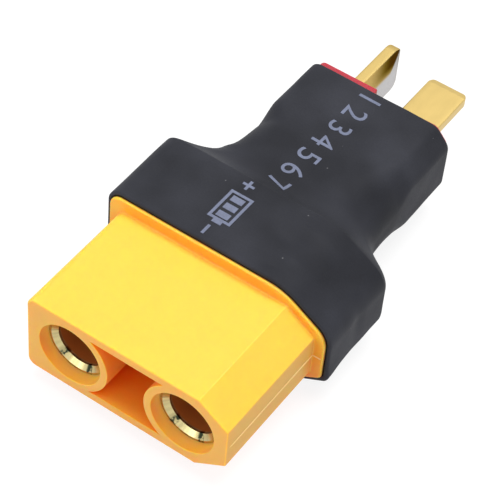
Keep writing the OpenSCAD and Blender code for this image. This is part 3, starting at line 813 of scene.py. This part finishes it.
class TubeSkin:
    """The shrunk tube's skin: a ring of points for every place along Y and every distance out from the inside."""

    corner_steps = 14
    side_steps = (15, 44)

    def __init__(self, settings):
        self.settings = settings
        self.neck_y = REAR_Y + settings.neck_place
        steps = self.corner_steps
        self.rear = (keyed_corner(KEY_WIDTH, KEY_HEIGHT, TOP_ROUND, SIDE_ROUND, steps),
                     keyed_corner(KEY_WIDTH, KEY_HEIGHT, TOP_ROUND, LOWER_ROUND, steps), round_corner(1.1, steps))
        self.neck = [round_corner(3.0, steps)] * 3
        plug_keyed = keyed_corner(1.2, 1.3, 0.8, 0.8, steps)
        self.plug = plug_keyed, plug_keyed, round_corner(0.6, steps)
        self.extra = round_corner(1.0, steps)[0]
        self.half_sizes = np.array([
            [SOCKET_HIGH[0], (SOCKET_HIGH[2] - SOCKET_LOW[2]) / 2],
            [settings.neck_half_width, settings.neck_half_height],
            [PLUG_HIGH[0], (PLUG_HIGH[2] - PLUG_LOW[2]) / 2]])

    def corner(self, index, weights, grow):
        """The mixed corner of every ring, grown outwards: 0 the upper keyed one, 1 the lower, 2 the plain ones."""
        places = np.stack([section[index][0] for section in (self.rear, self.neck, self.plug)])
        normals = np.stack([section[index][1] for section in (self.rear, self.neck, self.plug)])
        return (np.einsum("rs,spc->rpc", weights, places)
                + grow[:, None, None] * np.einsum("rs,spc->rpc", weights, normals))

    def rings(self, y, grow):
        """Whole rings: the four corners placed at the section's half sizes, with straight sides between them."""
        shoulder = np.clip((y - REAR_Y) / (self.neck_y - REAR_Y), 0, 1)
        rise = smooth((y - self.neck_y) / (PLUG_BACK_Y - self.neck_y))
        weights = np.stack([1 - shoulder, shoulder * (1 - rise), rise], axis=-1)
        drawn = 1 - (1 - shoulder ** 2) ** 9
        sunk = 1 - (1 - shoulder ** 1.2) ** 8
        rear, neck, plug = self.half_sizes
        half_w = rear[0] + (neck[0] - rear[0]) * drawn + (plug[0] - neck[0]) * rise
        half_h = rear[1] + (neck[1] - rear[1]) * sunk + (plug[1] - neck[1]) * rise
        keyed = self.corner(0, weights, grow)
        lower = self.corner(1, weights, grow)
        plain = self.corner(2, weights, grow)
        plain = plain + np.sin(math.pi * np.minimum(shoulder / 0.45, 1))[:, None, None] * self.extra
        half = np.stack([half_w, half_h], axis=-1)[:, None, :]
        upper_keyed = half + keyed
        lower_keyed = ((half + lower) * [1, -1])[:, ::-1]
        upper_plain = ((half + plain) * [-1, 1])[:, ::-1]
        lower_plain = (upper_plain * [1, -1])[:, ::-1]
        corners = [upper_keyed, lower_keyed, lower_plain, upper_plain]
        parts = []
        for number, corner in enumerate(corners):
            following = corners[(number + 1) % 4]
            share = np.linspace(0, 1, self.side_steps[number % 2] + 2)[1:-1][None, :, None]
            parts += [corner, corner[:, -1:] * (1 - share) + following[:, :1] * share]
        outline = np.concatenate(parts, axis=1)
        outline[..., 0] += self.settings.neck_shift * (drawn * (1 - rise))[:, None]
        slant = self.settings.end_slant * smooth((y - PLUG_BACK_Y - 2) / (TUBE_END_Y - PLUG_BACK_Y - 2))
        back = slant[:, None] * (outline[..., 0] / half_w[:, None] + 1) / 2
        along = np.broadcast_to(y[:, None], outline.shape[:2]) - back
        return np.stack([outline[..., 0], along, outline[..., 1] + MIDDLE_Z], axis=-1)


def soft_unevenness(points):
    """How far the outside stands out, in mm: slow waves, stronger in the neck, with a few hollows and folds."""
    x, y, z = points[..., 0], points[..., 1] - FACE_Y, points[..., 2] - MIDDLE_Z
    local = np.stack([x, y, z], axis=-1)
    in_neck = np.exp(-((y - 23.5) / 5.0) ** 2)
    height = 0.030 * slow_waves(local, 3, 5.5) + 0.05 * in_neck * slow_waves(local, 8, 4.0)
    height += 0.012 * slow_waves(local, 21, 2.2)
    height += bump(local, (4.0, 16.4, 5.5), (1.5, 0.9, 2.5), -0.17)
    height += bump(local, (5.2, 14.9, 5.4), (0.9, 0.35, 2.0), 0.07)
    height += bump(local, (4.6, 18.4, 5.3), (2.3, 0.55, 2.0), 0.07)
    height += bump(local, (4.4, 13.3, 5.5), (0.7, 0.30, 2.0), -0.06)
    height += bump(local, (-8.6, 15.6, 5.5), (0.9, 1.1, 2.0), -0.08)
    height += bump(local, (-7.2, 15.4, 5.5), (0.6, 0.6, 2.0), 0.06)
    height += bump(local, (-8.0, 18.2, 5.5), (0.9, 0.6, 2.0), 0.06)
    height += bump(local, (4.9, 30.4, 3.9), (1.1, 0.9, 2.0), 0.07)
    height += bump(local, (7.0, 29.2, 3.4), (0.8, 1.4, 1.6), -0.08)
    height += bump(local, (-5.9, 30.6, 3.9), (0.9, 0.8, 2.0), 0.05)
    height += bump(local, (-3.4, 24.3, 3.9), (1.8, 1.3, 2.0), -0.06)
    height += bump(local, (11.0, 16.4, 1.2), (2.0, 0.9, 2.0), -0.08)
    height += bump(local, (9.6, 12.4, -3.1), (2.4, 1.6, 1.8), 0.13)
    return height


def shrunk_tube_mesh(settings):
    """A closed wall: the outside from lip to lip, a half round lip, the inside back again and the other lip."""
    skin = TubeSkin(settings)
    outer, thin = settings.wall + 0.02, settings.wall / 2
    front, end = TUBE_FRONT_Y + thin, TUBE_END_Y - thin
    turn = np.radians(np.linspace(0, 180, 9))[1:-1]
    steps = settings.rings
    shoulder_share = 0.45
    dense = np.linspace(REAR_Y - 0.6, REAR_Y + 3.4, int(steps * shoulder_share))
    sparse_front = np.linspace(front, REAR_Y - 0.6, int(steps * 0.2), endpoint=False)
    sparse_back = np.linspace(REAR_Y + 3.4, end, int(steps * 0.35) + 1)[1:]
    outside = np.concatenate([sparse_front, dense, sparse_back])
    inside = outside[::-3]
    y = np.concatenate([outside, end + thin * np.sin(turn), inside, front - thin * np.sin(turn)])
    grow = np.concatenate([np.full(len(outside), outer), 0.02 + thin + thin * np.cos(turn),
                           np.full(len(inside), 0.02), 0.02 + thin - thin * np.cos(turn)])
    points = skin.rings(y, grow)
    ahead = np.roll(points, -1, axis=1) - np.roll(points, 1, axis=1)
    outward = np.stack([-ahead[..., 2], np.zeros_like(ahead[..., 0]), ahead[..., 0]], axis=-1)
    outward /= np.linalg.norm(outward, axis=-1, keepdims=True)
    share = (grow - 0.02)[:, None] / settings.wall
    above_rest = smooth((points[..., 2] - 0.15) / 1.2)
    height = settings.bump_height * soft_unevenness(points) * share * above_rest
    near_lip = np.maximum(1 - smooth((y - front) / 1.5), 1 - smooth((end - y) / 1.5))[:, None]
    wave = settings.lip_wave * near_lip * slow_waves(points * [1, 0, 1], 5, 6.0)
    points = points + outward * height[..., None]
    points[..., 1] += wave
    return points.reshape(-1, 3) * MM, grid_faces(*points.shape[:2], True, True)


class ADAPTER_OT_shrink_tube(bpy.types.Operator):
    """Lay the shrunk tube with its soft bumps and uneven lips"""
    bl_idname = "adapter.shrink_tube"
    bl_label = "Shrunk tube"

    def execute(self, context):
        vertices, faces = shrunk_tube_mesh(context.scene.adapter_tube)
        piece = make_piece("shrunk_tube", vertices, faces, black_tube())
        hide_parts("shrink_tube")
        return {"FINISHED"}


def swept_bead(path, radius, sides=8):
    """A round bead: a circle of the given radius carried along the path, narrowed to a closed point at both ends."""
    path = np.asarray(path, dtype=float)
    along = np.gradient(path, axis=0)
    along /= np.linalg.norm(along, axis=1, keepdims=True)
    level = np.cross(along, [0.0, 0.0, 1.0])
    level /= np.linalg.norm(level, axis=1, keepdims=True)
    above = np.cross(level, along)
    angle = np.linspace(0, 2 * math.pi, sides, endpoint=False)
    width = np.full(len(path), radius)
    width[[0, -1]] = radius * 0.02
    circle = (np.cos(angle)[None, :, None] * level[:, None, :] + np.sin(angle)[None, :, None] * above[:, None, :])
    points = path[:, None, :] + width[:, None, None] * circle
    faces = grid_faces(len(path), sides, False, True).tolist()
    last = (len(path) - 1) * sides
    faces += [list(range(sides))[::-1], [last + k for k in range(sides)]]
    return points.reshape(-1, 3), faces


class ADAPTER_OT_parting_ridges(bpy.types.Operator):
    """Run the fine parting ridge of the mould along both sides of the socket moulding and over its flange"""
    bl_idname = "adapter.parting_ridges"
    bl_label = "Parting ridges"

    def execute(self, context):
        radius = context.scene.adapter_plastic.ridge_radius
        pale_yellow = ridge_nylon()
        for side, name in ((1, "parting_ridge_right"), (-1, "parting_ridge_left")):
            run = np.linspace(FACE_Y + 0.35, FLANGE_Y, 40)
            up = np.linspace(BODY_HALF_WIDTH, SOCKET_HIGH[0] - 0.15, 12)[1:]
            x = np.concatenate([np.full(len(run), BODY_HALF_WIDTH), up])
            y = np.concatenate([run, np.full(len(up), FLANGE_Y)])
            path = np.stack([side * x, y, np.full(len(x), MIDDLE_Z)], axis=-1)
            points, faces = swept_bead(path, radius)
            piece = make_piece(name, points * MM, faces, pale_yellow)
            mend_normals(piece)
        return {"FINISHED"}


def mend_normals(piece):
    """Points every face of a closed piece outwards."""
    shape = bmesh.new()
    shape.from_mesh(piece.data)
    bmesh.ops.recalc_face_normals(shape, faces=shape.faces)
    shape.to_mesh(piece.data)
    shape.free()


def top_of_tube(x, y, settings):
    """The height of the tube's flat top at x and y: its section's half height plus wall and unevenness."""
    skin = TubeSkin(settings)
    shoulder = np.clip((y - REAR_Y) / (skin.neck_y - REAR_Y), 0, 1)
    rise = smooth((y - skin.neck_y) / (PLUG_BACK_Y - skin.neck_y))
    sunk = 1 - (1 - shoulder ** 1.2) ** 8
    rear, neck, plug = skin.half_sizes[:, 1]
    height = MIDDLE_Z + rear + (neck - rear) * sunk + (plug - neck) * rise + settings.wall + 0.02
    return height + settings.bump_height * soft_unevenness(np.stack([x, y, height], axis=-1))


def lay_on_tube(name, vertices, faces, centre, ink):
    """Lays a flat drawing on the tube's top: its right runs to -Y, its top to +X, and its height follows the tube."""
    settings = bpy.context.scene.adapter_tube
    x = centre[0] + vertices[:, 1]
    y = centre[1] - vertices[:, 0]
    z = top_of_tube(x, y, settings) + vertices[:, 2]
    return make_piece(name, np.stack([x, y, z], axis=-1) * MM, faces, ink, smooth=False)


def thick_drawing(outline_faces, points, thickness):
    """A closed plate from a flat drawing: the drawing on top, its copy below and walls round its free edges."""
    shape = bmesh.new()
    corners = [shape.verts.new((p[0], p[1], 0)) for p in points]
    for face in outline_faces:
        shape.faces.new([corners[i] for i in face])
    bmesh.ops.remove_doubles(shape, verts=shape.verts, dist=1e-4)
    bmesh.ops.triangulate(shape, faces=shape.faces)
    for _ in range(4):
        long_edges = [edge for edge in shape.edges if edge.calc_length() > 0.35]
        if not long_edges:
            break
        bmesh.ops.subdivide_edges(shape, edges=long_edges, cuts=1)
        bmesh.ops.triangulate(shape, faces=shape.faces)
    lower = bmesh.ops.extrude_face_region(shape, geom=shape.faces[:])
    for part in lower["geom"]:
        if isinstance(part, bmesh.types.BMVert):
            part.co.z += thickness
    for vertex in shape.verts:
        vertex.co.z -= thickness / 2
    bmesh.ops.recalc_face_normals(shape, faces=shape.faces)
    shape.verts.index_update()
    vertices = np.array([vertex.co[:] for vertex in shape.verts])
    faces = [[vertex.index for vertex in face.verts] for face in shape.faces]
    shape.free()
    return vertices, faces


def digit_drawing(digit, height):
    """The flat outline of one plain digit, centred, at the given height."""
    curve = bpy.data.curves.new("digit_outline", "FONT")
    curve.body = digit
    curve.fill_mode = "FRONT"
    holder = bpy.data.objects.new("digit_outline", curve)
    bpy.context.scene.collection.objects.link(holder)
    mesh = bpy.data.meshes.new_from_object(holder.evaluated_get(bpy.context.evaluated_depsgraph_get()))
    points = np.empty(len(mesh.vertices) * 3)
    mesh.vertices.foreach_get("co", points)
    points = points.reshape(-1, 3)[:, :2]
    faces = [list(polygon.vertices) for polygon in mesh.polygons]
    bpy.data.objects.remove(holder)
    bpy.data.curves.remove(curve)
    bpy.data.meshes.remove(mesh)
    low, high = points.min(axis=0), points.max(axis=0)
    return faces, (points - (low + high) / 2) * height / (high[1] - low[1])


def bars(boxes):
    """A drawing made of upright rectangles, each given by its left, bottom, right and top."""
    points, faces = [], []
    for left, bottom, right, top in boxes:
        first = len(points)
        points += [(left, bottom), (right, bottom), (right, top), (left, top)]
        faces.append([first, first + 1, first + 2, first + 3])
    return faces, np.array(points)


def battery_drawing(width, height, stroke):
    """A plain battery sign: a frame, a knob at its right end and three charge bars."""
    half_w, half_h = width / 2, height / 2
    frame_bars = [
        (-half_w, half_h - stroke, half_w, half_h),
        (-half_w, -half_h, half_w, -half_h + stroke),
        (-half_w, -half_h + stroke, -half_w + stroke, half_h - stroke),
        (half_w - stroke, -half_h + stroke, half_w, half_h - stroke),
        (half_w, -half_h * 0.4, half_w + stroke * 1.4, half_h * 0.4)]
    room = width - 2 * stroke
    step = room / 3
    charge = [(-room / 2 + step * (k + 0.2), -half_h + 2 * stroke, -room / 2 + step * (k + 0.85), half_h - 2 * stroke)
              for k in range(3)]
    return bars(frame_bars + charge)


def sign_drawing(size, stroke, plus):
    """A plain plus or minus sign."""
    half, thin = size / 2, stroke / 2
    boxes = [(-half, -thin, half, thin)]
    if plus:
        boxes += [(-thin, thin, thin, half), (-thin, -half, thin, -thin)]
    return bars(boxes)


class ADAPTER_OT_print(bpy.types.Operator):
    """Print plain numbers, a battery sign and two pole signs on the tube in pale ink"""
    bl_idname = "adapter.tube_print"
    bl_label = "Print"

    def execute(self, context):
        settings = context.scene.adapter_print
        ink = pale_ink()
        start, end = np.array([-0.50, FACE_Y + 35.35]), np.array([-1.05, FACE_Y + 21.9])
        for number, digit in enumerate(settings.digits):
            centre = start + (end - start) * number / max(len(settings.digits) - 1, 1)
            faces, points = digit_drawing(digit, settings.digit_height)
            lay_on_tube(f"printed_digit_{number + 1}", *thick_drawing(faces, points, settings.ink_thickness), centre,
                        ink)
        drawings = (("printed_battery_sign", battery_drawing(3.5, 2.2, 0.26), (-1.85, FACE_Y + 16.3)),
                    ("printed_plus", sign_drawing(1.1, 0.26, True), (-2.1, FACE_Y + 19.2)),
                    ("printed_minus", sign_drawing(1.1, 0.26, False), (-2.1, FACE_Y + 13.2)))
        for name, (faces, points), centre in drawings:
            lay_on_tube(name, *thick_drawing(faces, points, settings.ink_thickness), centre, ink)
        return {"FINISHED"}


class ADAPTER_OT_stage(bpy.types.Operator):
    """Set the floor, the lamps, the surroundings and the camera"""
    bl_idname = "adapter.stage"
    bl_label = "Stage"

    def execute(self, context):
        settings = context.scene.adapter_stage
        make_floor()
        make_lamps(settings)
        make_world(settings)
        make_camera(settings)
        context.scene.view_settings.view_transform = "Standard"
        return {"FINISHED"}


def seen_directly(tree):
    """1 for camera, glossy and transmission rays, which show the surroundings, and 0 for the rest."""
    light_path = tree.nodes.new("ShaderNodeLightPath")
    total = math_node(tree.nodes, tree.links, "ADD", light_path.outputs["Is Camera Ray"],
                      light_path.outputs["Is Glossy Ray"])
    total = math_node(tree.nodes, tree.links, "ADD", total, light_path.outputs["Is Transmission Ray"])
    return math_node(tree.nodes, tree.links, "MINIMUM", total, 1.0)


def make_floor():
    """A flat square floor under the adapter, z = 0 over a grid of x and y."""
    half, steps = 1.5, 9
    x, y = np.meshgrid(np.linspace(-half, half, steps), np.linspace(-half, half, steps), indexing="ij")
    points = np.stack([x, y, np.full_like(x, -0.00002)], axis=-1).reshape(-1, 3)
    mesh = bpy.data.meshes.new("studio_floor")
    mesh.from_pydata(points.tolist(), [], grid_faces(steps, steps)[:, ::-1].tolist())
    floor = bpy.data.objects.new("studio_floor", mesh)
    bpy.context.scene.collection.objects.link(floor)
    material, tree, shader, _ = new_material("floor_white")
    nodes, links = tree.nodes, tree.links
    for name, value in (("Base Color", (0.8, 0.8, 0.8, 1)), ("Roughness", 1.0), ("Specular IOR Level", 0.0)):
        shader.inputs[name].default_value = value
    pale = nodes.new("ShaderNodeBsdfDiffuse")
    pale.inputs["Color"].default_value = (0.2, 0.2, 0.2, 1)
    glow = nodes.new("ShaderNodeEmission")
    glow.inputs["Strength"].default_value = 0.85
    shown = nodes.new("ShaderNodeAddShader")
    links.new(pale.outputs[0], shown.inputs[0])
    links.new(glow.outputs[0], shown.inputs[1])
    pick = nodes.new("ShaderNodeMixShader")
    links.new(seen_directly(tree), pick.inputs["Fac"])
    links.new(shader.outputs[0], pick.inputs[1])
    links.new(shown.outputs[0], pick.inputs[2])
    links.new(pick.outputs[0], nodes["Material Output"].inputs["Surface"])
    mesh.materials.append(material)


def add_area(name, place, aim, size, power):
    lamp = bpy.data.lights.new(name, "AREA")
    lamp.shape = "DISK"
    lamp.size = size
    lamp.energy = power
    holder = bpy.data.objects.new(name, lamp)
    holder.location = place
    holder.rotation_euler = (Vector(aim) - Vector(place)).to_track_quat("-Z", "Y").to_euler()
    bpy.context.scene.collection.objects.link(holder)


def make_lamps(settings):
    add_area("overhead_lamp", (0.02, 0.06, 0.45), (0, 0, 0), 0.35, settings.overhead)
    add_area("front_lamp", (-0.12, -0.42, 0.16), (0, -0.02, 0), 0.3, settings.front)


def make_world(settings):
    """Plain white where it is seen, and a lower even light on everything else."""
    world = bpy.data.worlds.new("studio_white")
    bpy.context.scene.world = world
    world.use_nodes = True
    tree = world.node_tree
    lighting = tree.nodes["Background"]
    lighting.inputs["Color"].default_value = (1, 1, 1, 1)
    lighting.inputs["Strength"].default_value = settings.world
    shown = tree.nodes.new("ShaderNodeBackground")
    shown.inputs["Color"].default_value = (1, 1, 1, 1)
    pick = tree.nodes.new("ShaderNodeMixShader")
    tree.links.new(seen_directly(tree), pick.inputs["Fac"])
    tree.links.new(lighting.outputs[0], pick.inputs[1])
    tree.links.new(shown.outputs[0], pick.inputs[2])
    tree.links.new(pick.outputs[0], tree.nodes["World Output"].inputs["Surface"])


def make_camera(settings):
    """Stands the camera off its target along azimuth and elevation, then rolls it."""
    a, e, roll = (math.radians(v) for v in (settings.azimuth, settings.elevation, settings.roll))
    back = Vector((math.sin(a) * math.cos(e), -math.cos(a) * math.cos(e), math.sin(e)))
    level = (-back).cross(Vector((0, 0, 1))).normalized()
    above = level.cross(-back)
    right = math.cos(roll) * level + math.sin(roll) * above
    up = -math.sin(roll) * level + math.cos(roll) * above
    lens = bpy.data.cameras.new("photo_camera")
    lens.lens = settings.lens
    lens.sensor_width = 36.0
    lens.clip_start, lens.clip_end = 0.01, 10.0
    camera = bpy.data.objects.new("photo_camera", lens)
    turn = Matrix((right, up, back)).transposed().to_4x4()
    place = Vector(settings.target) * MM + back * settings.distance * MM
    camera.matrix_world = Matrix.Translation(place) @ turn
    bpy.context.scene.collection.objects.link(camera)
    bpy.context.scene.camera = camera


class ADAPTER_PT_panel(bpy.types.Panel):
    """Buttons for every group of pieces"""
    bl_idname = "ADAPTER_PT_panel"
    bl_label = "Battery adapter"
    bl_space_type = "VIEW_3D"
    bl_region_type = "UI"
    bl_category = "Adapter"

    def draw(self, context):
        for operator in OPERATORS:
            self.layout.operator(operator.bl_idname)


SETTINGS = {
    "adapter_plastic": AdapterPlasticSettings,
    "adapter_metal": AdapterMetalSettings,
    "adapter_tube": AdapterTubeSettings,
    "adapter_print": AdapterPrintSettings,
    "adapter_stage": AdapterStageSettings,
}
OPERATORS = (ADAPTER_OT_housings, ADAPTER_OT_parting_ridges, ADAPTER_OT_contacts, ADAPTER_OT_blades,
             ADAPTER_OT_shrink_tube, ADAPTER_OT_print, ADAPTER_OT_stage)


def register():
    for kind in (*SETTINGS.values(), *OPERATORS, ADAPTER_PT_panel):
        bpy.utils.register_class(kind)
    for name, kind in SETTINGS.items():
        setattr(bpy.types.Scene, name, PointerProperty(type=kind))


def unregister():
    for name in SETTINGS:
        delattr(bpy.types.Scene, name)
    for kind in (ADAPTER_PT_panel, *reversed(OPERATORS), *SETTINGS.values()):
        bpy.utils.unregister_class(kind)


def main():
    register()
    make_grain_group()
    make_hollow_group()
    bpy.ops.adapter.housings()
    bpy.ops.adapter.parting_ridges()
    bpy.ops.adapter.contacts()
    bpy.ops.adapter.blades()
    bpy.ops.adapter.shrink_tube()
    bpy.ops.adapter.tube_print()
    bpy.ops.adapter.stage()


if __name__ == "__main__":
    main()
